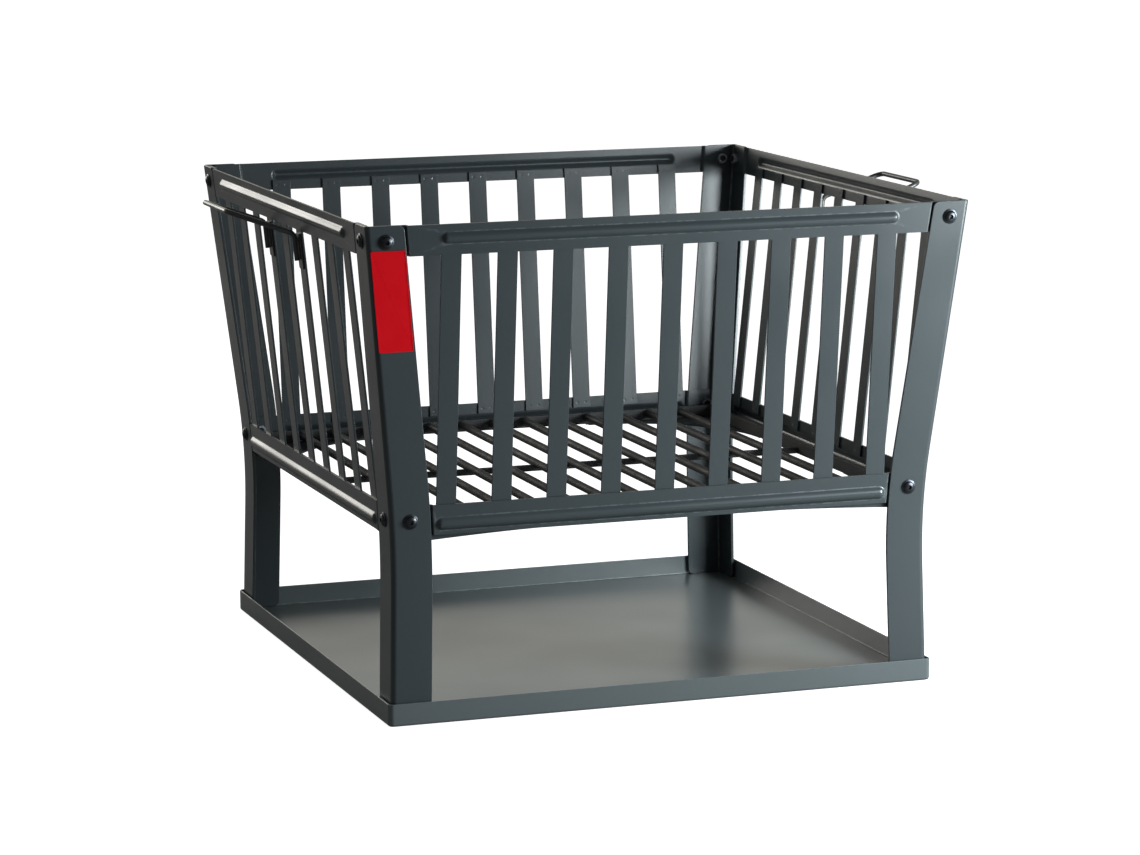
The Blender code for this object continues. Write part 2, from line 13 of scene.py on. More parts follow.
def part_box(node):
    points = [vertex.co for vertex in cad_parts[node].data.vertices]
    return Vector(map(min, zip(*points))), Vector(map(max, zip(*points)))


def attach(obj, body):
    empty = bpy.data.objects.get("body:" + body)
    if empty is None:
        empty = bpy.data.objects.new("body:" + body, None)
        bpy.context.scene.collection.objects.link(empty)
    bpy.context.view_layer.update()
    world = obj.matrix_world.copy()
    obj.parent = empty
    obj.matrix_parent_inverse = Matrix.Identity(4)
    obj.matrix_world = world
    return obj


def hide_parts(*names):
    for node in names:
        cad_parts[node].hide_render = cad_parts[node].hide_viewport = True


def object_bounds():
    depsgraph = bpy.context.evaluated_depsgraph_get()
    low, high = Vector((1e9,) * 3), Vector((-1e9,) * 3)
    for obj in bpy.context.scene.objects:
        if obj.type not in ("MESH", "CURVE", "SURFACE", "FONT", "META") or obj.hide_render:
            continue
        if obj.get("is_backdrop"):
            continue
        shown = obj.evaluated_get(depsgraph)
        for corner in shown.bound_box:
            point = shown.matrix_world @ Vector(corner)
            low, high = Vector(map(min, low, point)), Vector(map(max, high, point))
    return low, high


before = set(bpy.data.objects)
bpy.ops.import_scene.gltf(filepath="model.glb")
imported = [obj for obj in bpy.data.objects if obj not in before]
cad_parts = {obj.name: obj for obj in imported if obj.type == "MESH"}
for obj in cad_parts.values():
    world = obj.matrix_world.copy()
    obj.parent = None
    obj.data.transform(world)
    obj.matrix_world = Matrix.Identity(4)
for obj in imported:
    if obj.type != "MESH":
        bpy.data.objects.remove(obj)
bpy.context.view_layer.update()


# Floor tray
# One sheet of 1.5 mm steel with the rim folded up on all four sides, its corners welded and ground
# round, then powder coated. It lies on the ground, carries the basket's feet and catches the ash.

TRAY_SHEET = 0.0015
TRAY_CORNER_RADIUS = 0.005
TRAY_FOLD_RADIUS = 0.0025
CUT_EDGE = 0.00035           # how far the cut edges of sheet are broken
THIN_COAT_HIGHLIGHT_STRIP = 0.0006           # strips narrower than this are edges, where the coat draws thin and a highlight is painted paler
NEAR = 0.0001                # how close a vertex or an edge lies to the place where it is picked
DOUBLES = 0.00001            # vertices closer than this are made one


def add_block(name, low, high):
    """A new cube between two corners, alone in the selection."""
    bpy.ops.object.select_all(action="DESELECT")
    low, high = Vector(low), Vector(high)
    bpy.ops.mesh.primitive_cube_add(size=1, location=(low + high) / 2, scale=high - low)
    bpy.ops.object.transform_apply(location=True, rotation=True, scale=True)
    bpy.context.object.name = name
    return bpy.context.object


def pick(kind, wanted):
    """In edit mode, select the vertices, edges or faces that are wanted, and nothing else."""
    bpy.ops.mesh.select_mode(type=kind)
    bpy.ops.mesh.select_all(action="DESELECT")
    shape = bmesh.from_edit_mesh(bpy.context.edit_object.data)
    for item in {"VERT": shape.verts, "EDGE": shape.edges, "FACE": shape.faces}[kind]:
        if wanted(item):
            item.select_set(True)
    shape.select_flush_mode()
    bmesh.update_edit_mesh(bpy.context.edit_object.data)


def middle_of(edge):
    """The point halfway along the edge."""
    return (edge.verts[0].co + edge.verts[1].co) / 2


def run_of(edge):
    """The edge's extent along X, Y and Z."""
    run = edge.verts[1].co - edge.verts[0].co
    return Vector((abs(run.x), abs(run.y), abs(run.z)))


def apply_modifiers(piece):
    """Make the piece's modifiers part of its mesh."""
    bpy.context.view_layer.objects.active = piece
    for step in list(piece.modifiers):
        bpy.ops.object.modifier_apply(modifier=step.name)


def give_thickness(piece, sheet):
    """The sheet's body lies behind the face that its normals point out of."""
    step = piece.modifiers.new("Sheet", "SOLIDIFY")
    step.thickness = sheet
    step.offset = -1
    step.use_even_offset = True
    apply_modifiers(piece)


def break_edges(piece, width=CUT_EDGE, segments=2, angle=40):
    """Round the sharp edges a little, as cutting, tumbling and coating leave them."""
    step = piece.modifiers.new("Broken edges", "BEVEL")
    step.width = width
    step.segments = segments
    step.limit_method = "ANGLE"
    step.angle_limit = math.radians(angle)
    piece.modifiers.new("Joined", "WELD").merge_threshold = DOUBLES / 2
    apply_modifiers(piece)


def even_shading(piece, angle=50):
    """Smooth shading that leaves flat faces flat, and marks the narrow rounded edges for thin coat and a
    painted highlight.
    """
    bpy.ops.object.select_all(action="DESELECT")
    piece.select_set(True)
    bpy.context.view_layer.objects.active = piece
    bpy.ops.object.shade_smooth_by_angle(angle=math.radians(angle))
    piece.modifiers.new("Even shading", "WEIGHTED_NORMAL").keep_sharp = True
    apply_modifiers(piece)
    shape = bmesh.new()
    shape.from_mesh(piece.data)
    # Narrow edge strips are marked for thin coat and for a highlight painted paler into the colour
    thin = piece.data.attributes.new("thin_coat_and_highlight", "FLOAT", "POINT")
    for vert in shape.verts:
        widths = [
            face.calc_area() / max(edge.calc_length() for edge in face.edges)
            for face in vert.link_faces
        ]
        thin.data[vert.index].value = 1.0 if widths and max(widths) < THIN_COAT_HIGHLIGHT_STRIP else 0.0
    shape.free()


def fit(piece, body, slot, material, *nodes):
    """Coat the finished piece and let it ride on its body, in place of CAD nodes if any are named."""
    piece.data.materials.clear()
    piece.data.materials.append(material)
    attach(piece, body)
    if nodes:
        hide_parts(*nodes)


def new_group(name, inputs, outputs):
    """An empty shader group with number inputs and their usual values, and its two end nodes."""
    group = bpy.data.node_groups.new(name, "ShaderNodeTree")
    for label, value in inputs.items():
        socket = group.interface.new_socket(label, in_out="INPUT", socket_type="NodeSocketFloat")
        socket.default_value = value
    for label in outputs:
        group.interface.new_socket(label, in_out="OUTPUT", socket_type="NodeSocketFloat")
    return group, group.nodes.new("NodeGroupInput"), group.nodes.new("NodeGroupOutput")


def join(tree, *pairs):
    """Link each output to the input beside it."""
    for source, target in pairs:
        tree.links.new(source, target)


def remap(tree, source, from_low, from_high, to_low, to_high):
    """Source, eased from one range into another."""
    node = tree.nodes.new("ShaderNodeMapRange")
    node.interpolation_type = "SMOOTHSTEP"
    node.inputs["From Min"].default_value = from_low
    node.inputs["From Max"].default_value = from_high
    node.inputs["To Min"].default_value = to_low
    node.inputs["To Max"].default_value = to_high
    tree.links.new(source, node.inputs["Value"])
    return node.outputs["Result"]


def noise(tree, scale, detail=2.0, roughness=0.5):
    """Noise through the solid: its scale is in features per metre."""
    node = tree.nodes.new("ShaderNodeTexNoise")
    node.inputs["Detail"].default_value = detail
    node.inputs["Roughness"].default_value = roughness
    place = tree.nodes.new("ShaderNodeTexCoord")
    tree.links.new(place.outputs["Object"], node.inputs["Vector"])
    if isinstance(scale, bpy.types.NodeSocket):
        tree.links.new(scale, node.inputs["Scale"])
    else:
        node.inputs["Scale"].default_value = scale
    return node.outputs["Fac"]


GRAIN_SHARE = 0.45           # of the grain in the coat's height, beside the orange peel


def coat_surface():
    """Baked powder: orange peel and grain as height, slow clouds of gloss, and edges worn thin with a
    painted highlight.
    """
    tree, given, result = new_group(
        "coat_surface", {"Grain": 900.0, "Peel": 240.0}, ("Height", "Clouds", "Thin coat and highlight")
    )
    grain = noise(tree, given.outputs["Grain"], detail=1.0)
    peel = noise(tree, given.outputs["Peel"], detail=0.0)
    height = tree.nodes.new("ShaderNodeMath")
    height.operation = "MULTIPLY_ADD"
    height.inputs[1].default_value = GRAIN_SHARE
    clouds = noise(tree, 9.0, detail=1.0)
    patchy = remap(tree, noise(tree, 160.0, detail=3.0), 0.42, 0.62, 0.25, 1.0)
    # The edge mask: thin coat and a painted highlight along the rounded edges, broken into patches
    edge = tree.nodes.new("ShaderNodeAttribute")
    edge.attribute_name = "thin_coat_and_highlight"
    thin_and_highlit = tree.nodes.new("ShaderNodeMath")
    thin_and_highlit.operation = "MULTIPLY"
    join(
        tree,
        (grain, height.inputs[0]),
        (peel, height.inputs[2]),
        (height.outputs[0], result.inputs["Height"]),
        (clouds, result.inputs["Clouds"]),
        (edge.outputs["Fac"], thin_and_highlit.inputs[0]),
        (patchy, thin_and_highlit.inputs[1]),
        (thin_and_highlit.outputs[0], result.inputs["Thin coat and highlight"]),
    )
    return tree


coat_surface_group = coat_surface()


def blended(tree, share, first, second):
    """A colour between two, by share."""
    node = tree.nodes.new("ShaderNodeMix")
    node.data_type = "RGBA"
    tree.links.new(share, node.inputs["Factor"])
    for label, colour in (("A", first), ("B", second)):
        socket = next(s for s in node.inputs if s.name == label and s.type == "RGBA")
        if isinstance(colour, bpy.types.NodeSocket):
            tree.links.new(colour, socket)
        else:
            socket.default_value = (*colour, 1)
    return next(s for s in node.outputs if s.type == "RGBA")


def bumped(tree, shader, height, strength, depth):
    """Fine relief on the shader's surface, from height, up to depth in metres."""
    node = tree.nodes.new("ShaderNodeBump")
    node.inputs["Strength"].default_value = strength
    node.inputs["Distance"].default_value = depth
    join(tree, (height, node.inputs["Height"]), (node.outputs["Normal"], shader.inputs["Normal"]))


def new_material(name):
    """The material, its node tree and its shader."""
    material = bpy.data.materials.new(name)
    material.use_nodes = True
    return material, material.node_tree, material.node_tree.nodes["Principled BSDF"]


COAT_DEPTH = 0.00012         # height of the coat's grain and orange peel


def powder_coat(name, colour, thin_coat_highlight_colour, gloss, grain=900.0, bump=0.22):
    """Satin powder coat. Gloss is the roughness in its glossiest and its dullest patches. Narrow edges
    take a paler colour: thin coat and a painted highlight.
    """
    material, tree, shader = new_material(name)
    surface = tree.nodes.new("ShaderNodeGroup")
    surface.node_tree = coat_surface_group
    surface.inputs["Grain"].default_value = grain
    cloudy = remap(tree, surface.outputs["Clouds"], 0.2, 0.8, 0.0, 1.0)
    dull = [0.93 * value for value in colour]
    body = blended(tree, cloudy, colour, dull)
    # Narrow edges are painted paler: thin coat and a painted highlight
    edges = remap(tree, surface.outputs["Thin coat and highlight"], 0.0, 1.0, 0.0, 0.75)
    join(
        tree,
        (blended(tree, edges, body, thin_coat_highlight_colour), shader.inputs["Base Color"]),
        (remap(tree, surface.outputs["Clouds"], 0.3, 0.7, *gloss), shader.inputs["Roughness"]),
    )
    bumped(tree, shader, surface.outputs["Height"], bump, COAT_DEPTH)
    return material


low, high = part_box("ash_tray")
tray = add_block("floor_tray", low, high)
bpy.ops.object.mode_set(mode="EDIT")
pick("FACE", lambda face: face.normal.z > 0.5)
bpy.ops.mesh.delete(type="ONLY_FACE")
pick("EDGE", lambda edge: run_of(edge).z > TRAY_FOLD_RADIUS)
bpy.ops.mesh.bevel(offset=TRAY_CORNER_RADIUS, segments=6, profile=0.5)
pick("EDGE", lambda edge: max(vert.co.z for vert in edge.verts) < low.z + NEAR)
bpy.ops.mesh.bevel(offset=TRAY_FOLD_RADIUS, segments=4, profile=0.5)
bpy.ops.object.mode_set(mode="OBJECT")
give_thickness(tray, TRAY_SHEET)
break_edges(tray, angle=60)
even_shading(tray)

tray_coat = powder_coat(
    "tray_powder_coat", colour=(0.098, 0.113, 0.116), thin_coat_highlight_colour=(0.18, 0.20, 0.20),
    gloss=(0.285, 0.305),
)
fit(tray, "tray", "tray_powder_coat", tray_coat, "ash_tray")


# Legs
# Each is 3 mm sheet folded to an L along its height, then bent so that it flares outwards above the
# lower rails while the foot turns out a little again. The flanges narrow towards the top.

LEG_SHEET = 0.003
LEG_FOLD_RADIUS = 0.005
LEG_LEAN = 0.105             # outward run per rise, above the bend
LEG_FOOT_LEAN = -0.025       # the same below it
LEG_BEND_LOW, LEG_BEND_HIGH = 0.115, 0.225
BEND_STEPS = 22
FLANGE, FLANGE_AT_TOP = 0.0385, 0.036
FLANGE_CORNER_RADIUS = 0.0052
LEG_CUT_EDGE = 0.0005
LEG_TOP = 0.462
TOP_REACH = 0.2935           # from the middle to the outer face of the legs, at their top
foot_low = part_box("front_left_leg")[0]


def lean_at(z):
    """The legs' outward run per rise at height z."""
    along = (z - LEG_BEND_LOW) / (LEG_BEND_HIGH - LEG_BEND_LOW)
    return LEG_FOOT_LEAN + (LEG_LEAN - LEG_FOOT_LEAN) * min(max(along, 0), 1)


def reach_at(z):
    """From the middle to the legs' outer face: straight, a parabolic bend, and straight again."""
    if z >= LEG_BEND_HIGH:
        return TOP_REACH - LEG_LEAN * (LEG_TOP - z)
    above_bend = TOP_REACH - LEG_LEAN * (LEG_TOP - LEG_BEND_HIGH)
    in_bend = above_bend - (lean_at(z) + LEG_LEAN) / 2 * (LEG_BEND_HIGH - max(z, LEG_BEND_LOW))
    return in_bend - LEG_FOOT_LEAN * max(LEG_BEND_LOW - z, 0)


def flange_at(z):
    """The flanges' width at height z."""
    along = max(z - LEG_BEND_HIGH, 0) / (LEG_TOP - LEG_BEND_HIGH)
    return FLANGE + (FLANGE_AT_TOP - FLANGE) * along


def turned_copy(piece, name, quarters, shift=0):
    """The same shape with its own mesh, shifted along X, then turned about the basket's middle."""
    twin = piece.copy()
    twin.data = piece.data.copy()
    twin.name = name
    turn = Matrix.Rotation(quarters * math.pi / 2, 4, "Z")
    twin.data.transform(turn @ Matrix.Translation((shift, 0, 0)))
    bpy.context.collection.objects.link(twin)
    return twin


CORNERS = ("front_left", "front_right", "back_right", "back_left")
SIDES = ("front", "right", "back", "left")

foot = reach_at(foot_low.z)
bpy.ops.object.select_all(action="DESELECT")
bpy.ops.mesh.primitive_plane_add(
    size=1, rotation=(math.pi / 2, 0, 0),
    location=(FLANGE / 2 - foot, -foot, (foot_low.z + LEG_BEND_LOW) / 2),
)
leg = bpy.context.object
leg.scale = (FLANGE, LEG_BEND_LOW - foot_low.z, 1)
bpy.ops.object.transform_apply(location=True, rotation=True, scale=True)
bpy.ops.object.mode_set(mode="EDIT")
pick("EDGE", lambda edge: middle_of(edge).x < NEAR - foot)
bpy.ops.mesh.extrude_region_move(TRANSFORM_OT_translate={"value": (0, FLANGE, 0)})
pick("EDGE", lambda edge: abs(middle_of(edge).x + foot) + abs(middle_of(edge).y + foot) < NEAR)
bpy.ops.mesh.bevel(offset=LEG_FOLD_RADIUS, segments=7, profile=0.5)
pick("EDGE", lambda edge: middle_of(edge).z > LEG_BEND_LOW - NEAR)
back_in = foot - reach_at(LEG_BEND_LOW)
bpy.ops.transform.translate(value=(back_in, back_in, 0))
heights = [
    LEG_BEND_LOW + (LEG_BEND_HIGH - LEG_BEND_LOW) * step / BEND_STEPS
    for step in range(BEND_STEPS + 1)
]
for below, above in zip(heights, [*heights[1:], LEG_TOP]):
    outwards = reach_at(above) - reach_at(below)
    bpy.ops.mesh.extrude_region_move(
        TRANSFORM_OT_translate={"value": (-outwards, -outwards, above - below)}
    )
    narrowing = flange_at(above) / flange_at(below)
    fold_line = (-reach_at(above), -reach_at(above), above)
    bpy.ops.transform.resize(value=(narrowing, narrowing, 1), center_override=fold_line)
pick("VERT", lambda vert: len(vert.link_edges) == 2)
bpy.ops.mesh.bevel(offset=FLANGE_CORNER_RADIUS, segments=6, profile=0.5, affect="VERTICES")
bpy.ops.mesh.select_all(action="SELECT")
bpy.ops.mesh.normals_make_consistent(inside=False)
if bmesh.from_edit_mesh(leg.data).faces[:][0].normal.dot(Vector((1, 1, 0))) > 0:
    bpy.ops.mesh.flip_normals()
bpy.ops.object.mode_set(mode="OBJECT")
give_thickness(leg, LEG_SHEET)
break_edges(leg, width=LEG_CUT_EDGE)
even_shading(leg)

anthracite = powder_coat(
    "anthracite_powder_coat", colour=(0.036, 0.045, 0.049), thin_coat_highlight_colour=(0.098, 0.110, 0.116),
    gloss=(0.29, 0.36),
)
for quarters, corner in enumerate(CORNERS):
    piece = turned_copy(leg, f"{corner}_folded_leg", quarters)
    fit(piece, "basket", "anthracite_powder_coat", anthracite, f"{corner}_leg")
bpy.data.objects.remove(leg)


# Rails
# Flat strips of 2 mm steel, an upper and a lower one on each side, stiffened by a long pressed bead.
# Their ends are stepped in behind the legs' flanges, where the screws go through both.

RAIL_SHEET = 0.002
RAIL_WIDTH = 0.028
RAIL_END_GAP = 0.0024        # open line between rail and flange
STEP_RUN = 0.0017
STEP_DEPTH = LEG_SHEET + 0.0003
STEP_FOLD_RADIUS = 0.0006
RAIL_END_STRIP = 0.001       # of flat, between the bead's field and the step
TAB_END_INSET = 0.009        # from the tab's end to the leg's inner corner
TAB_CORNER_RADIUS = 0.003
BEAD_HALF_LENGTH = 0.2225
BEAD_FOOT = 0.0006           # flat margin between the strip and the bead's rim
BEAD_RINGS = (               # steps inwards and outwards, from the margin up the bead's flank
    (BEAD_FOOT, 0), (0.0005, 0.0001), (0.0005, 0.00028), (0.0005, 0.00045), (0.0005, 0.0005),
    (0.0006, 0.00056), (0.0007, 0.00055),
)
CROWN_RINGS = ((0.00045, 0.72), (0.0003, 0.65), (0.00018, 0.5))   # steps outwards, and narrower
CROWN_SHORTER = 0.997
RAILS = {                    # height of its middle, the bead's offset from it, half the bead's width
    "upper": (0.4475, 0.0014, 0.0060),
    "lower": (0.1885, -0.0039, 0.0065),
}


def stepped_rail(name, middle, bead_offset, bead_half_width):
    """The front's rail at this height: the bead, the flat around it, and the stepped ends."""
    lean = lean_at(middle)
    half = RAIL_WIDTH / 2
    bead_corner = bead_half_width + BEAD_FOOT - 2 * NEAR
    face_half = reach_at(middle) - flange_at(middle) - RAIL_END_GAP
    tab_run = flange_at(middle) + RAIL_END_GAP - STEP_RUN - TAB_END_INSET
    bpy.ops.object.select_all(action="DESELECT")
    bpy.ops.mesh.primitive_plane_add(size=1, rotation=(math.pi / 2, 0, 0), location=(0, 0, bead_offset))
    rail = bpy.context.object
    rail.name = name
    rail.scale = (2 * BEAD_HALF_LENGTH + 2 * BEAD_FOOT, 2 * bead_half_width + 2 * BEAD_FOOT, 1)
    bpy.ops.object.transform_apply(location=True, rotation=True, scale=True)
    bpy.ops.object.mode_set(mode="EDIT")
    pick("VERT", lambda vert: True)
    bpy.ops.mesh.bevel(offset=bead_corner, segments=8, profile=0.5, affect="VERTICES")

    # The flat around the bead, filled between its rim and the strip's outline
    pick("VERT", lambda vert: False)
    bpy.ops.mesh.primitive_plane_add(size=1, rotation=(math.pi / 2, 0, 0))
    field = 2 * face_half - 2 * RAIL_END_STRIP
    bpy.ops.transform.resize(value=(field, 1, RAIL_WIDTH), center_override=(0, 0, 0))
    bpy.ops.mesh.delete(type="ONLY_FACE")
    pick("EDGE", lambda edge: len(edge.link_faces) < 2)
    bpy.ops.mesh.fill()

    # The bead itself, ring by ring inwards and outwards
    pick("FACE", lambda face: len(face.verts) > 4)
    for inwards, outwards in BEAD_RINGS:
        bpy.ops.mesh.inset(thickness=inwards, depth=outwards)
    for outwards, narrower in CROWN_RINGS:
        bpy.ops.mesh.extrude_region_move(TRANSFORM_OT_translate={"value": (0, -outwards, 0)})
        bpy.ops.transform.resize(value=(CROWN_SHORTER, 1, narrower), center_override=(0, 0, bead_offset))

    # The ends: a strip of flat, a short step back, then the tab
    for side in (-1, 1):
        pick("EDGE", lambda edge: side * middle_of(edge).x > face_half - RAIL_END_STRIP - NEAR)
        for run, back in ((RAIL_END_STRIP, 0), (STEP_RUN, STEP_DEPTH), (tab_run, 0)):
            bpy.ops.mesh.extrude_region_move(TRANSFORM_OT_translate={"value": (side * run, back, 0)})
        pick("VERT", lambda vert: side * vert.co.x > face_half + STEP_RUN + tab_run - NEAR)
        bpy.ops.mesh.bevel(offset=TAB_CORNER_RADIUS, segments=4, profile=0.5, affect="VERTICES")

    # The basket widens upwards, so the ends' upper corners go out and the lower ones in
    for level in (-1, 1):
        pick("VERT", lambda vert: level * vert.co.z > half - NEAR
             and abs(vert.co.x) > face_half - RAIL_END_STRIP - 2 * NEAR)
        spread = 1 + level * lean * half / face_half
        bpy.ops.transform.resize(value=(spread, 1, 1), center_override=(0, 0, 0))
    step_low, step_high = face_half - RAIL_END_STRIP / 2, face_half + STEP_RUN + 2 * RAIL_END_STRIP
    pick("EDGE", lambda edge: run_of(edge).z > half and step_low < abs(middle_of(edge).x) < step_high)
    bpy.ops.mesh.bevel(offset=STEP_FOLD_RADIUS, segments=3, profile=0.5)
    bpy.ops.mesh.select_all(action="SELECT")
    bpy.ops.mesh.remove_doubles(threshold=DOUBLES)
    bpy.ops.mesh.normals_make_consistent(inside=False)
    largest = max(bmesh.from_edit_mesh(rail.data).faces[:], key=lambda face: face.calc_area())
    if largest.normal.y > 0:
        bpy.ops.mesh.flip_normals()
    bpy.ops.object.mode_set(mode="OBJECT")
    give_thickness(rail, RAIL_SHEET)
    break_edges(rail)
    rail.rotation_euler.x = math.atan(lean)
    rail.location = (0, -reach_at(middle), middle)
    bpy.ops.object.transform_apply(location=True, rotation=True, scale=True)
    even_shading(rail, angle=20)
    return rail


for level, (middle, bead_offset, bead_half_width) in RAILS.items():
    rail = stepped_rail(f"{level}_rail", middle, bead_offset, bead_half_width)
    for quarters, side in enumerate(SIDES):
        piece = turned_copy(rail, f"{side}_{level}_rail", quarters)
        nodes = [f"{side}_panel"] if level == "upper" else []
        fit(piece, "basket", "anthracite_powder_coat", anthracite, *nodes)
    bpy.data.objects.remove(rail)


# Slats
# Nine flat bars of 19 by 2 mm on each side. Their ends lie against the inner faces of both rails and
# are spot welded there, two welds at each end.

SLAT_COUNT = 9
SLAT_PITCH = 0.053
SLAT_WIDTH = 0.019
SLAT_SHEET = 0.002
SLAT_LAP_TOP, SLAT_LAP_LOWER = 0.010, 0.011
BAR_CUT_EDGE = 0.0003
SPOT_WELD_BALL = 0.0044      # radius of the electrode's rounded tip
SPOT_WELD_DEPTH = 0.00045
SPOT_WELD_ASIDE = 0.0045     # from the slat's middle line
SPOT_WELD_FROM_FOOT, SPOT_WELD_FROM_HEAD = 0.0055, 0.005

slat_foot = RAILS["lower"][0] + RAIL_WIDTH / 2 - SLAT_LAP_LOWER
slat_head = RAILS["upper"][0] - RAIL_WIDTH / 2 + SLAT_LAP_TOP


def behind_rail(level, z):
    """Distance from the middle of the basket to the inner face of a rail at height z."""
    middle = RAILS[level][0]
    lean = lean_at(middle)
    return reach_at(middle) + lean * (z - middle) - RAIL_SHEET * math.hypot(1, lean)


def cut(piece, tool, operation="DIFFERENCE"):
    """Take the tool's shape out of the piece, or with INTERSECT all but it, and drop the tool."""
    step = piece.modifiers.new("Cut", "BOOLEAN")
    step.operation = operation
    step.object = tool
    apply_modifiers(piece)
    bpy.data.objects.remove(tool)


foot_reach, head_reach = behind_rail("lower", slat_foot), behind_rail("upper", slat_head)
slat_lean = (head_reach - foot_reach) / (slat_head - slat_foot)
slat_length = math.hypot(slat_head - slat_foot, head_reach - foot_reach)
slat = add_block("slat", (-SLAT_WIDTH / 2, 0, 0), (SLAT_WIDTH / 2, SLAT_SHEET, slat_length))
break_edges(slat, width=BAR_CUT_EDGE)
for z in (SPOT_WELD_FROM_FOOT, slat_length - SPOT_WELD_FROM_HEAD):
    for x in (-SPOT_WELD_ASIDE, SPOT_WELD_ASIDE):
        bpy.ops.object.select_all(action="DESELECT")
        bpy.ops.mesh.primitive_uv_sphere_add(
            segments=16, ring_count=8, radius=SPOT_WELD_BALL,
            location=(x, SLAT_SHEET + SPOT_WELD_BALL - SPOT_WELD_DEPTH, z),
        )
        cut(slat, bpy.context.object)
slat.location = (0, -foot_reach, slat_foot)
slat.rotation_euler.x = math.atan(slat_lean)
bpy.ops.object.select_all(action="DESELECT")
slat.select_set(True)
bpy.context.view_layer.objects.active = slat
bpy.ops.object.transform_apply(location=True, rotation=True, scale=True)
even_shading(slat, angle=60)
for quarters, side in enumerate(SIDES):
    for place in range(SLAT_COUNT):
        along = (place - (SLAT_COUNT - 1) / 2) * SLAT_PITCH
        piece = turned_copy(slat, f"{side}_slat_{place + 1}", quarters, along)
        fit(piece, "basket", "anthracite_powder_coat", anthracite)
bpy.data.objects.remove(slat)


# Corner brackets
# A plate of 2 mm steel in each corner, hollowed by an arc, with both straight edges folded down to
# lips that fade towards the tips. They sit against the lower rails' ends and carry the grate.

BRACKET_SHEET = 0.002
BRACKET_ARM = 0.012
BRACKET_FOLD_RADIUS = 0.0016
BRACKET_LIP, BRACKET_LIP_TIP = 0.0075, 0.001
LIP_STEPS = 10
LIP_FADE = 1.5               # power by which the lips fade towards their tips

low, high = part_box("front_left_grate_bracket")
bracket = add_block("bracket", (low.x, low.y, high.z - BRACKET_SHEET), high)
bracket_reach = high.x - low.x
bpy.ops.object.mode_set(mode="EDIT")
stations = [
    low.x + BRACKET_SHEET + (bracket_reach - BRACKET_SHEET) * step / LIP_STEPS
    for step in range(LIP_STEPS)
]
for station in stations:
    for plane_point, plane_normal in (((station, 0, 0), (1, 0, 0)), ((0, station, 0), (0, 1, 0))):
        bpy.ops.mesh.select_all(action="SELECT")
        bpy.ops.mesh.bisect(plane_co=plane_point, plane_no=plane_normal)
strip = low.x + BRACKET_SHEET + NEAR
pick("FACE", lambda face: face.normal.z < -0.5
     and min(face.calc_center_median().x, face.calc_center_median().y) < strip)
bpy.ops.mesh.extrude_region_move(TRANSFORM_OT_translate={"value": (0, 0, -BRACKET_LIP)})
lip_low = high.z - BRACKET_SHEET - BRACKET_LIP
for station in [*stations[1:], high.x]:
    left = (high.x - station) / (high.x - stations[0])
    depth = BRACKET_LIP_TIP + (BRACKET_LIP - BRACKET_LIP_TIP) * left ** LIP_FADE
    pick("VERT", lambda vert: vert.co.z < lip_low + NEAR
         and abs(max(vert.co.x, vert.co.y) - station) < NEAR)
    bpy.ops.transform.translate(value=(0, 0, BRACKET_LIP - depth))
pick("EDGE", lambda edge: run_of(edge).z > BRACKET_LIP_TIP
     and max(middle_of(edge).x, middle_of(edge).y) < low.x + NEAR)
bpy.ops.mesh.bevel(offset=LEG_FOLD_RADIUS, segments=5, profile=0.5)
pick("EDGE", lambda edge: middle_of(edge).z > high.z - NEAR
     and (middle_of(edge).x < low.x + NEAR or middle_of(edge).y < low.y + NEAR))
bpy.ops.mesh.bevel(offset=BRACKET_FOLD_RADIUS, segments=4, profile=0.5)
bpy.ops.object.mode_set(mode="OBJECT")
bpy.ops.object.select_all(action="DESELECT")
bpy.ops.mesh.primitive_cylinder_add(
    vertices=96, radius=bracket_reach - BRACKET_ARM, depth=0.05, location=(high.x, high.y, high.z)
)
cut(bracket, bpy.context.object)
break_edges(bracket)
even_shading(bracket, angle=45)
for quarters, corner in enumerate(CORNERS):
    piece = turned_copy(bracket, f"{corner}_bracket", quarters)
    fit(piece, "basket", "anthracite_powder_coat", anthracite, f"{corner}_grate_bracket")
bpy.data.objects.remove(bracket)


# Screws
# M6 flanged button head screws in black steel, one through each flange and rail tab. The head is a
# low dome on a thin flange, with a hexagon socket. The thread's end stands out of the nut inside.

SCREW_FLANGE_RADIUS, SCREW_FLANGE_EDGE = 0.007, 0.0006
SCREW_FLANGE_RINGS = ((0.0002, 0.965), (0.00015, 0.88))   # rise and narrowing, up to the dome
SCREW_DOME_RADIUS = 0.0056
SCREW_DOME_BASE, SCREW_HEAD_HEIGHT = 0.00115, 0.0034
DOME_STEP, DOME_STEPS = 13, 6     # degrees of arc, up to the flat around the socket
SCREW_RADIUS = 0.003
SCREW_LENGTH = 0.012
THREAD_PITCH = 0.001
THREAD_ROOT = 0.84
THREAD_TURNS = 3             # those that stand out of the nut
SCREW_TIP = 0.82
SCREW_CUT_EDGE = 0.00012
SOCKET_FLATS = 0.004
SOCKET_DEPTH = 0.0022


def ring(depth, scale):
    """Pull the selected end face on by depth and scale it there: one ring of a turned shape."""
    bpy.ops.mesh.extrude_region_move(TRANSFORM_OT_translate={"value": (0, 0, depth)})
    if scale != 1:
        bpy.ops.transform.resize(value=(scale, scale, 1), center_override=(0, 0, 0))


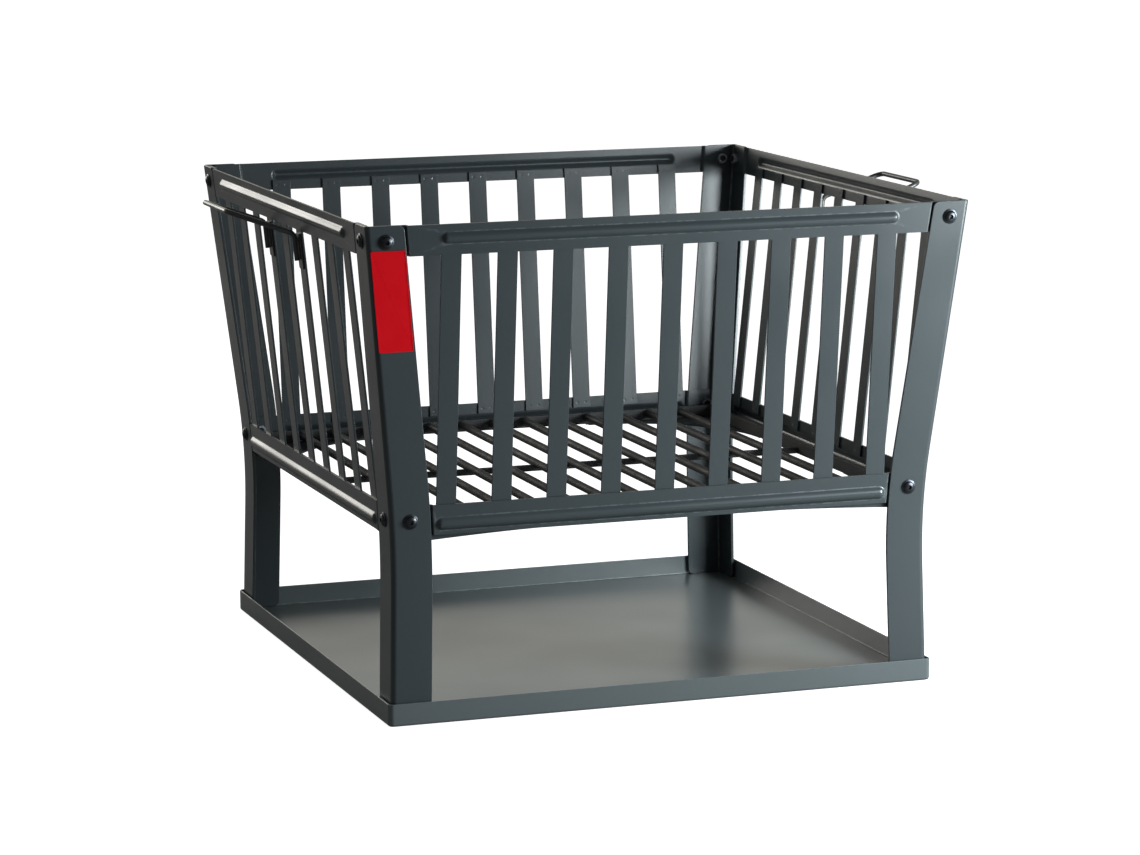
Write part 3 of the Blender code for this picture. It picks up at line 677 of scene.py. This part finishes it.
bpy.ops.object.select_all(action="DESELECT")
bpy.ops.mesh.primitive_cylinder_add(
    vertices=32, radius=SCREW_FLANGE_RADIUS, depth=SCREW_FLANGE_EDGE,
    location=(0, 0, SCREW_FLANGE_EDGE / 2),
)
screw = bpy.context.object
bpy.ops.object.transform_apply(location=True, rotation=True, scale=True)
bpy.ops.object.mode_set(mode="EDIT")
pick("FACE", lambda face: face.normal.z > 0.9)
collar, rise = SCREW_FLANGE_RADIUS, SCREW_FLANGE_EDGE
for step_up, narrower in SCREW_FLANGE_RINGS:
    ring(step_up, narrower)
    collar *= narrower
    rise += step_up
ring(SCREW_DOME_BASE - rise, SCREW_DOME_RADIUS / collar)
dome_rise = SCREW_HEAD_HEIGHT - SCREW_DOME_BASE
full_sine = math.sin(math.radians(DOME_STEP * DOME_STEPS))
radius, height = 1.0, 0.0
for step in range(1, DOME_STEPS + 1):
    angle = math.radians(DOME_STEP * step)
    ring(dome_rise * (math.sin(angle) / full_sine - height), math.cos(angle) / radius)
    radius, height = math.cos(angle), math.sin(angle) / full_sine
pick("FACE", lambda face: face.normal.z < -0.9)
ring(0, SCREW_RADIUS / SCREW_FLANGE_RADIUS)
ring(-(SCREW_LENGTH - (THREAD_TURNS + 0.25) * THREAD_PITCH), 1)
for turn in range(THREAD_TURNS):
    for share, scale in ((0.35, THREAD_ROOT), (0.15, 1), (0.35, 1 / THREAD_ROOT), (0.15, 1)):
        ring(-share * THREAD_PITCH, scale)
ring(-0.25 * THREAD_PITCH, SCREW_TIP)
bpy.ops.object.mode_set(mode="OBJECT")
bpy.ops.object.select_all(action="DESELECT")
bpy.ops.mesh.primitive_cylinder_add(
    vertices=6, radius=SOCKET_FLATS / math.sqrt(3), depth=2 * SOCKET_DEPTH,
    location=(0, 0, SCREW_HEAD_HEIGHT),
)
cut(screw, bpy.context.object)
break_edges(screw, width=SCREW_CUT_EDGE, angle=55)
even_shading(screw, angle=40)


def brushed_metal(name, colour, gloss, bump=0.1):
    """Bare or plated steel with fine turning marks and faint stains."""
    material, tree, shader = new_material(name)
    shader.inputs["Metallic"].default_value = 1.0
    stains = noise(tree, 420.0, detail=4.0, roughness=0.6)
    shade = [0.7 * value for value in colour]
    join(
        tree,
        (blended(tree, remap(tree, stains, 0.35, 0.7, 0, 1), colour, shade), shader.inputs["Base Color"]),
        (remap(tree, stains, 0.3, 0.7, *gloss), shader.inputs["Roughness"]),
    )
    bumped(tree, shader, noise(tree, 3500.0, detail=1.0), bump, 0.00005)
    return material


black_steel = brushed_metal("black_screw_steel", (0.058, 0.062, 0.068), (0.30, 0.42))


def outer_frame(x, z):
    """A frame on the front's outer face, with its Z pointing straight out of the basket."""
    upright = Matrix.Rotation(math.pi / 2 + math.atan(lean_at(z)), 4, "X")
    return Matrix.Translation((x, -reach_at(z), z)) @ upright


def turned_in(piece, name, side, place, height, degrees):
    """A screw or nut of the same shape, at its place on its side, height out from the flange."""
    twin = turned_copy(piece, name, 0)
    there = Matrix.Rotation(SIDES.index(side) * math.pi / 2, 4, "Z") @ SCREW_PLACES[place]
    turn = Matrix.Rotation(math.radians(degrees), 4, "Z")
    twin.data.transform(there @ Matrix.Translation((0, 0, height)) @ turn)
    return twin


SCREW_PLACES = {
    f"{level}_{end}": outer_frame(toward * (reach_at(rail[0]) - flange_at(rail[0]) / 2), rail[0])
    for level, rail in RAILS.items()
    for end, toward in (("left", -1), ("right", 1))
}
HEAD_LIFT = 0.0001           # the head stands this far off the coated flange
for quarters, side in enumerate(SIDES):
    for index, place in enumerate(SCREW_PLACES):
        # Each screw stops at another turn
        stop = 17 + 23 * index + 31 * quarters
        piece = turned_in(screw, f"{side}_button_screw_{place}", side, place, HEAD_LIFT, stop)
        fit(piece, "basket", "black_screw_steel", black_steel, f"{side}_screw_{place}")
bpy.data.objects.remove(screw)


# Nuts
# Zinc plated M6 hexagon nuts behind the rail tabs, with the corners chamfered on both faces.

NUT_FLATS = 0.010
NUT_HEIGHT = 0.005
NUT_BORE_RADIUS = 0.0030
NUT_CORNER_RADIUS = 0.00578  # just past the corners
NUT_FACE_NARROWER = 0.865    # the chamfer's ring on both faces
NUT_WAIST_WIDER = 1.12       # clears the corners halfway up
NUT_CUT_EDGE = 0.00015

bpy.ops.object.select_all(action="DESELECT")
bpy.ops.mesh.primitive_cylinder_add(vertices=6, radius=NUT_FLATS / math.sqrt(3), depth=NUT_HEIGHT)
nut = bpy.context.object

# A barrel, narrow at both faces, takes the nut's corners off
bpy.ops.object.select_all(action="DESELECT")
bpy.ops.mesh.primitive_cylinder_add(vertices=48, radius=NUT_CORNER_RADIUS, depth=NUT_HEIGHT)
barrel = bpy.context.object
bpy.ops.object.mode_set(mode="EDIT")
for end in (-1, 1):
    pick("FACE", lambda face: end * face.normal.z > 0.9)
    bpy.ops.transform.resize(value=(NUT_FACE_NARROWER, NUT_FACE_NARROWER, 1), center_override=(0, 0, 0))
bpy.ops.mesh.select_all(action="SELECT")
bpy.ops.mesh.bisect(plane_co=(0, 0, 0), plane_no=(0, 0, 1))
bpy.ops.transform.resize(value=(NUT_WAIST_WIDER, NUT_WAIST_WIDER, 1), center_override=(0, 0, 0))
bpy.ops.object.mode_set(mode="OBJECT")
cut(nut, barrel, "INTERSECT")

bpy.ops.object.select_all(action="DESELECT")
bpy.ops.mesh.primitive_cylinder_add(vertices=48, radius=NUT_BORE_RADIUS, depth=2 * NUT_HEIGHT)
cut(nut, bpy.context.object)
break_edges(nut, width=NUT_CUT_EDGE, angle=25)
even_shading(nut, angle=30)

zinc = brushed_metal("zinc_plated_steel", (0.56, 0.57, 0.59), (0.29, 0.42), bump=0.15)
behind_tab = STEP_DEPTH + RAIL_SHEET + NUT_HEIGHT / 2
for quarters, side in enumerate(SIDES):
    for index, place in enumerate(SCREW_PLACES):
        stop = 11 + 17 * index + 29 * quarters
        piece = turned_in(nut, f"{side}_hex_nut_{place}", side, place, -behind_tab, stop)
        fit(piece, "basket", "zinc_plated_steel", zinc, f"{side}_nut_{place}")
bpy.data.objects.remove(nut)


# Handle tabs
# Small plates welded to the outer faces of the slats beside the middle one, two on each handle side.

TAB_WIDTH = 0.014
TAB_SHEET = 0.0015
TAB_LOW, TAB_HIGH = 0.396, 0.430
PLATE_CORNER_RADIUS = 0.002
PLATE_GAP = 0.0001           # the weld's gap between plate and slat
HANDLE_SLAT = 1              # the tabs' slats are this many places from the middle


def slat_face(z):
    """Distance from the middle of the basket to the slats' outer face at height z."""
    return foot_reach + slat_lean * (z - slat_foot)


tab_height = (TAB_HIGH - TAB_LOW) * math.hypot(1, slat_lean)
tab = add_block("tab", (-TAB_WIDTH / 2, -TAB_SHEET, 0), (TAB_WIDTH / 2, 0, tab_height))
bpy.ops.object.mode_set(mode="EDIT")
pick("EDGE", lambda edge: run_of(edge).y > TAB_SHEET / 2)
bpy.ops.mesh.bevel(offset=PLATE_CORNER_RADIUS, segments=5, profile=0.5)
bpy.ops.object.mode_set(mode="OBJECT")
break_edges(tab, width=BAR_CUT_EDGE)
tab.rotation_euler.x = math.atan(slat_lean)
tab.location = (0, -slat_face(TAB_LOW) - PLATE_GAP, TAB_LOW)
bpy.ops.object.transform_apply(location=True, rotation=True, scale=True)
even_shading(tab)

wire_coat = powder_coat(
    "wire_powder_coat", colour=(0.050, 0.050, 0.047), thin_coat_highlight_colour=(0.11, 0.11, 0.105),
    gloss=(0.30, 0.38), grain=1300.0,
)
HANDLE_SIDES = (("right", 1), ("left", 3))
HANDLE_ENDS = {              # which way along the modelled front each side's ends lie
    "right": (("front", -1), ("back", 1)),
    "left": (("front", 1), ("back", -1)),
}
for side, quarters in HANDLE_SIDES:
    for end, way in HANDLE_ENDS[side]:
        piece = turned_copy(tab, f"{side}_{end}_tab", quarters, way * HANDLE_SLAT * SLAT_PITCH)
        fit(piece, "basket", "wire_powder_coat", wire_coat, f"{side}_handle_{end}_tab")
bpy.data.objects.remove(tab)


# Handles
# Each is one bent 5 mm wire: up along its tab, out and slightly upwards under the upper rail, along
# the grip and back the same way. The upright ends are fillet welded to the tabs.

WIRE_RADIUS = 0.0025
GRIP_REACH, GRIP_HEIGHT, GRIP_HALF = 0.3548, 0.452, 0.047
GRIP_CORNER_RADIUS = 0.009
ARM_BEND_RADIUS = 0.007
ARM_RISE = math.tan(math.radians(20))
WIRE_FOOT = 0.404
WIRE_GAP = 0.0006            # between wire and tab, filled by the welds
WIRE_CUT_EDGE = 0.0005

stand_off = TAB_SHEET + WIRE_GAP + WIRE_RADIUS
arm = HANDLE_SLAT * SLAT_PITCH
foot_out = slat_face(WIRE_FOOT) + stand_off
arm_fall = ARM_RISE * (GRIP_REACH - foot_out + slat_lean * WIRE_FOOT)
bend_height = (GRIP_HEIGHT - arm_fall) / (1 - ARM_RISE * slat_lean)
route = [
    Vector((-arm, -foot_out, WIRE_FOOT)),
    Vector((-arm, -slat_face(bend_height) - stand_off, bend_height)),
    Vector((-GRIP_HALF, -GRIP_REACH, GRIP_HEIGHT)),
]
route += [Vector((-point.x, point.y, point.z)) for point in reversed(route)]
bpy.ops.object.select_all(action="DESELECT")
bpy.ops.mesh.primitive_plane_add(size=0.01, location=(0, 0, 0))
handle = bpy.context.object
bpy.ops.object.mode_set(mode="EDIT")
bpy.ops.mesh.select_mode(type="VERT")
bpy.ops.mesh.select_all(action="SELECT")
bpy.ops.mesh.merge(type="CENTER")
bpy.ops.transform.translate(value=route[0])
for here, there in zip(route, route[1:]):
    bpy.ops.mesh.extrude_vertices_move(TRANSFORM_OT_translate={"value": there - here})
for number, radius in ((1, ARM_BEND_RADIUS), (2, GRIP_CORNER_RADIUS)):
    for corner in (route[number], route[-1 - number]):
        half = (route[number - 1] - route[number]).angle(route[number + 1] - route[number]) / 2
        pick("VERT", lambda vert: (vert.co - corner).length < NEAR)
        bpy.ops.mesh.bevel(offset=radius / math.tan(half), segments=10, profile=0.5, affect="VERTICES")
bpy.ops.object.mode_set(mode="OBJECT")
bpy.ops.object.convert(target="CURVE")
handle = bpy.context.object
handle.data.bevel_depth = WIRE_RADIUS
handle.data.bevel_resolution = 6
handle.data.use_fill_caps = True
bpy.ops.object.convert(target="MESH")
handle = bpy.context.object
bpy.ops.object.mode_set(mode="EDIT")
bpy.ops.mesh.select_all(action="SELECT")
bpy.ops.mesh.remove_doubles(threshold=DOUBLES)
bpy.ops.mesh.normals_make_consistent(inside=False)
bpy.ops.object.mode_set(mode="OBJECT")
break_edges(handle, width=WIRE_CUT_EDGE, segments=3, angle=70)
even_shading(handle, angle=60)
for side, quarters in HANDLE_SIDES:
    piece = turned_copy(handle, f"{side}_wire_handle", quarters)
    fit(piece, "basket", "wire_powder_coat", wire_coat, f"{side}_handle")
bpy.data.objects.remove(handle)

# The fillet welds, one on either flank of each upright end
WELD_LENGTH, WELD_RADIUS = 0.021, 0.0013
WELD_FROM_FOOT = 0.001
WELD_OFF_TAB = 0.0008
WELD_ASIDE = 0.0024
WELD_RINGS = 22
RIPPLE, RIPPLE_REACH = 0.86, 0.0005   # how much the ripples are drawn in, and half their length
weld_middle = WIRE_FOOT + 0.5 * WELD_LENGTH + WELD_FROM_FOOT
bpy.ops.object.select_all(action="DESELECT")
bpy.ops.mesh.primitive_uv_sphere_add(
    segments=14, ring_count=WELD_RINGS, radius=1, rotation=(math.atan(slat_lean), 0, 0)
)
weld = bpy.context.object
weld.scale = (WELD_RADIUS, WELD_RADIUS, WELD_LENGTH / 2)
weld.location = (0, -slat_face(weld_middle) - TAB_SHEET - WELD_OFF_TAB, weld_middle)
bpy.ops.object.transform_apply(location=True, rotation=True, scale=True)
bpy.ops.object.mode_set(mode="EDIT")
for bead in range(0, WELD_RINGS, 2):
    height = weld_middle + (bead + 0.5 - WELD_RINGS / 2) / WELD_RINGS * WELD_LENGTH
    pick("VERT", lambda vert: abs(vert.co.z - height) < RIPPLE_REACH)
    root = (0, weld.data.vertices[0].co.y, height)
    bpy.ops.transform.resize(value=(RIPPLE, RIPPLE, 1), center_override=root)
bpy.ops.object.mode_set(mode="OBJECT")
even_shading(weld, angle=60)
for side, quarters in HANDLE_SIDES:
    for end, way in HANDLE_ENDS[side]:
        for flank, aside in (("a", -WELD_ASIDE), ("b", WELD_ASIDE)):
            name = f"{side}_{end}_handle_weld_{flank}"
            piece = turned_copy(weld, name, quarters, way * arm + aside)
            fit(piece, "basket", "wire_powder_coat", wire_coat)
bpy.data.objects.remove(weld)


# Badge
# A plain red enamelled plate, glued to the front left leg. Its sides follow the leg's corner line.

BADGE_WIDTH = 0.0325
BADGE_SHEET = 0.001
BADGE_FROM_CORNER = 0.0025
BADGE_GLUE = 0.0002
BADGE_CORNER_RADIUS = 0.0012
BADGE_RIM, BADGE_RECESS = 0.0011, 0.00018
BADGE_CUT_EDGE = 0.00012

low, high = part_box("badge_plate")
badge_left = -reach_at(low.z) + BADGE_FROM_CORNER
badge_front = -reach_at(low.z) - BADGE_GLUE
badge = add_block("badge", (badge_left, badge_front - BADGE_SHEET, low.z),
                  (badge_left + BADGE_WIDTH, badge_front, high.z))
bpy.ops.object.mode_set(mode="EDIT")
pick("VERT", lambda vert: vert.co.z > (low.z + high.z) / 2)
outwards = reach_at(high.z) - reach_at(low.z)
bpy.ops.transform.translate(value=(-outwards, -outwards, 0))
pick("EDGE", lambda edge: run_of(edge).y > 0 and max(run_of(edge).x, run_of(edge).z) < NEAR)
bpy.ops.mesh.bevel(offset=BADGE_CORNER_RADIUS, segments=5, profile=0.5)
pick("FACE", lambda face: face.normal.y < -0.9)
bpy.ops.mesh.inset(thickness=BADGE_RIM)
bpy.ops.mesh.extrude_region_move(TRANSFORM_OT_translate={"value": (0, BADGE_RECESS, 0)})
bpy.ops.object.mode_set(mode="OBJECT")
break_edges(badge, width=BADGE_CUT_EDGE, angle=35)
even_shading(badge, angle=45)


def red_enamel():
    """Smooth fired enamel with a faint swirl in its gloss."""
    material, tree, shader = new_material("red_enamel")
    shader.inputs["Specular IOR Level"].default_value = 0.2
    swirl = noise(tree, 60.0, detail=3.0)
    red = blended(tree, swirl, (0.58, 0.0016, 0.007), (0.64, 0.0019, 0.008))
    join(
        tree,
        (red, shader.inputs["Base Color"]),
        (remap(tree, swirl, 0.3, 0.7, 0.29, 0.34), shader.inputs["Roughness"]),
    )
    bumped(tree, shader, noise(tree, 700.0, detail=1.0), 0.12, 0.00005)
    return material


fit(badge, "basket", "badge_red", red_enamel(), "badge_plate")


# Fire grate
# Round 8 mm bars welded into a frame of 12 by 5 mm flat bar, over one flat stay across their middle.
# It lies loose on the brackets and is coated with matt black stove paint.

BAR_COUNT = 13
BAR_RADIUS = 0.004
BAR_CHAMFER_IN, BAR_CHAMFER_OUT = 0.0006, 0.0004
FRAME_SHEET = 0.005
FRAME_CORNER_RADIUS = 0.003
FRAME_CUT_EDGE = 0.0006
FRAME_PROUD = 0.0003         # the frame stands this far past the bars and the stay
STAY_HEIGHT = 0.006
STAY_CUT_EDGE = 0.0005
SEAM_SIZE = (0.0058, 0.0019, 0.0052)   # half the size of the weld around a bar's end
SEAM_GROUND = 0.0006         # how far below the frame's top the seam is ground off

low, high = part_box("fire_grate")
grate_frame = add_block("grate_frame", low, high)
bpy.ops.object.mode_set(mode="EDIT")
pick("EDGE", lambda edge: run_of(edge).z > NEAR)
bpy.ops.mesh.bevel(offset=FRAME_CORNER_RADIUS, segments=4, profile=0.5)
pick("FACE", lambda face: abs(face.normal.z) > 0.9)
bpy.ops.mesh.inset(thickness=FRAME_SHEET)
bpy.ops.mesh.bridge_edge_loops()
bpy.ops.object.mode_set(mode="OBJECT")
break_edges(grate_frame, width=FRAME_CUT_EDGE, segments=3)
even_shading(grate_frame)


def stove_paint():
    """Matt black paint over rolled steel: gritty, with paler dusty patches."""
    material, tree, shader = new_material("stove_paint")
    grit = noise(tree, 1100.0, detail=4.0, roughness=0.7)
    patches = noise(tree, 38.0, detail=5.0, roughness=0.65)
    surface = tree.nodes.new("ShaderNodeGroup")
    surface.node_tree = coat_surface_group
    dusty = remap(tree, patches, 0.38, 0.68, 0, 1)
    body = blended(tree, dusty, (0.016, 0.016, 0.017), (0.034, 0.032, 0.030))
    # Narrow edges are painted paler: thin coat and a painted highlight
    edges = remap(tree, surface.outputs["Thin coat and highlight"], 0, 1, 0, 0.6)
    join(
        tree,
        (blended(tree, edges, body, (0.085, 0.080, 0.075)), shader.inputs["Base Color"]),
        (remap(tree, patches, 0.3, 0.7, 0.52, 0.68), shader.inputs["Roughness"]),
    )
    bumped(tree, shader, grit, 0.35, 0.00025)
    return material


stove_black = stove_paint()
fit(grate_frame, "grate", "black_heat_coat", stove_black, "fire_grate")

bar_pitch = (high.x - low.x - 2 * FRAME_SHEET) / (BAR_COUNT + 1)
bar_length = high.y - low.y - 2 * FRAME_SHEET
bar_height = high.z - BAR_RADIUS - FRAME_PROUD
bpy.ops.object.select_all(action="DESELECT")
bpy.ops.mesh.primitive_cylinder_add(
    vertices=24, radius=BAR_RADIUS, depth=bar_length,
    rotation=(math.pi / 2, 0, 0), location=(0, 0, bar_height),
)
bar = bpy.context.object
bpy.ops.object.transform_apply(location=True, rotation=True, scale=True)
bpy.ops.object.mode_set(mode="EDIT")
for end in (-1, 1):
    pick("FACE", lambda face: end * face.normal.y > 0.9)
    bpy.ops.mesh.inset(thickness=BAR_CHAMFER_IN)
    bpy.ops.transform.translate(value=(0, end * BAR_CHAMFER_OUT, 0))
bpy.ops.object.mode_set(mode="OBJECT")
even_shading(bar)
bpy.ops.object.select_all(action="DESELECT")
bpy.ops.mesh.primitive_uv_sphere_add(
    segments=16, ring_count=10, radius=1, location=(0, high.y - FRAME_SHEET, bar_height)
)
seam = bpy.context.object
seam.scale = SEAM_SIZE
bpy.ops.object.transform_apply(location=True, rotation=True, scale=True)
bpy.ops.object.mode_set(mode="EDIT")
bpy.ops.mesh.select_all(action="SELECT")
bpy.ops.mesh.bisect(
    plane_co=(0, 0, high.z - SEAM_GROUND), plane_no=(0, 0, 1), clear_outer=True, use_fill=True
)
bpy.ops.object.mode_set(mode="OBJECT")
even_shading(seam, angle=60)
for number in range(BAR_COUNT):
    x = (number - (BAR_COUNT - 1) / 2) * bar_pitch
    piece = turned_copy(bar, f"grate_bar_{number + 1}", 0, x)
    fit(piece, "grate", "black_heat_coat", stove_black)
    for end, quarters, along in (("back", 0, x), ("front", 2, -x)):
        piece = turned_copy(seam, f"grate_weld_{end}_{number + 1}", quarters, along)
        fit(piece, "grate", "black_heat_coat", stove_black)
bpy.data.objects.remove(bar)
bpy.data.objects.remove(seam)

half_span = (high.x - low.x) / 2 - FRAME_SHEET
stay_low = low.z + FRAME_PROUD
stay = add_block("grate_stay", (-half_span, -FRAME_SHEET / 2, stay_low),
                 (half_span, FRAME_SHEET / 2, stay_low + STAY_HEIGHT))
break_edges(stay, width=STAY_CUT_EDGE, segments=3)
even_shading(stay)
fit(stay, "grate", "black_heat_coat", stove_black)


# Studio
# A plain pale floor that runs to the horizon, a bright wall of light low around it, a dark ceiling,
# one large soft light close on the right and a weaker one behind. None of it is part of the object.

bpy.ops.object.select_all(action="DESELECT")
bpy.ops.mesh.primitive_plane_add(size=60, location=(0, 0, -0.0005))
floor = bpy.context.object
floor.name = "studio_floor"
paper, tree, shader = new_material("studio_paper")
mottle = noise(tree, 3.0, detail=2.0)
pale = blended(tree, mottle, (0.80, 0.80, 0.80), (0.83, 0.83, 0.83))
looked_at = tree.nodes.new("ShaderNodeLightPath").outputs["Is Camera Ray"]
join(
    tree,
    (blended(tree, looked_at, (0.27, 0.27, 0.265), pale), shader.inputs["Base Color"]),
    (remap(tree, mottle, 0.3, 0.7, 0.75, 0.85), shader.inputs["Roughness"]),
    (remap(tree, looked_at, 0, 1, 0, 0.86), shader.inputs["Emission Strength"]),
)
shader.inputs["Emission Color"].default_value = (1, 1, 1, 1)
floor.data.materials.append(paper)
floor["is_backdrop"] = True


def soft_light(name, place, aim, size, power, colour):
    """A rectangular light that shines on aim and isn't seen itself."""
    bpy.ops.object.light_add(type="AREA", location=place)
    lamp = bpy.context.object
    lamp.name = name
    lamp.data.shape = "RECTANGLE"
    lamp.data.size, lamp.data.size_y = size
    lamp.data.energy = power
    lamp.data.color = colour
    lamp.rotation_euler = (Vector(aim) - Vector(place)).to_track_quat("-Z", "Y").to_euler()
    lamp.visible_camera = False


soft_light("right_soft_box", place=(0.90, -0.82, 0.42), aim=(0.15, -0.2, 0.28), size=(0.5, 0.4),
           power=27, colour=(0.88, 0.97, 1.0))
soft_light("back_soft_box", place=(-1.0, 2.5, 0.9), aim=(0, 0, 0.2), size=(1.2, 0.9),
           power=14, colour=(1.0, 0.97, 0.92))
bpy.ops.object.light_add(type="SUN", location=(0, 0, 3))
overhead = bpy.context.object
overhead.name = "overhead_haze"
overhead.data.energy = 0.4
overhead.data.angle = math.radians(120)
overhead.visible_glossy = False

world = bpy.data.worlds.new("studio_world")
bpy.context.scene.world = world
world.use_nodes = True
sky = world.node_tree
background = sky.nodes["Background"]
facing = sky.nodes.new("ShaderNodeTexCoord")
split = sky.nodes.new("ShaderNodeSeparateXYZ")
sky.links.new(facing.outputs["Generated"], split.inputs["Vector"])
around = remap(sky, split.outputs["Y"], 0.1, 0.9, 0.0, 1.0)
low_wall = blended(sky, around, (0.16, 0.17, 0.18), (1.05, 1.03, 0.93))
above = remap(sky, split.outputs["Z"], 0.12, 0.6, 0.0, 1.0)
ambient = blended(sky, above, low_wall, (0.08, 0.085, 0.09))
seen = sky.nodes.new("ShaderNodeLightPath").outputs["Is Camera Ray"]
sky.links.new(blended(sky, seen, ambient, (1.0, 1.0, 1.0)), background.inputs["Color"])
bpy.context.scene.view_settings.view_transform = "Standard"


# Camera
# It looks along the front from the left and slightly down, through a long lens.

CAMERA_PLACE = (-1.2555, -3.5725, 0.8633)
YAW, PITCH, ROLL = (math.radians(angle) for angle in (19.37, 9.67, -0.26))
ahead = Vector((math.sin(YAW) * math.cos(PITCH), math.cos(YAW) * math.cos(PITCH), -math.sin(PITCH)))
level_right = Vector((math.cos(YAW), -math.sin(YAW), 0))
level_up = level_right.cross(ahead)
right = level_right * math.cos(ROLL) + level_up * math.sin(ROLL)
up = level_up * math.cos(ROLL) - level_right * math.sin(ROLL)
bpy.ops.object.camera_add()
camera = bpy.context.object
camera.name = "camera"
turned = Matrix((right, up, -ahead)).transposed().to_4x4()
camera.matrix_world = Matrix.Translation(CAMERA_PLACE) @ turned
camera.data.sensor_width = 36
camera.data.lens = 122.73
bpy.context.scene.camera = camera

low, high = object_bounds()
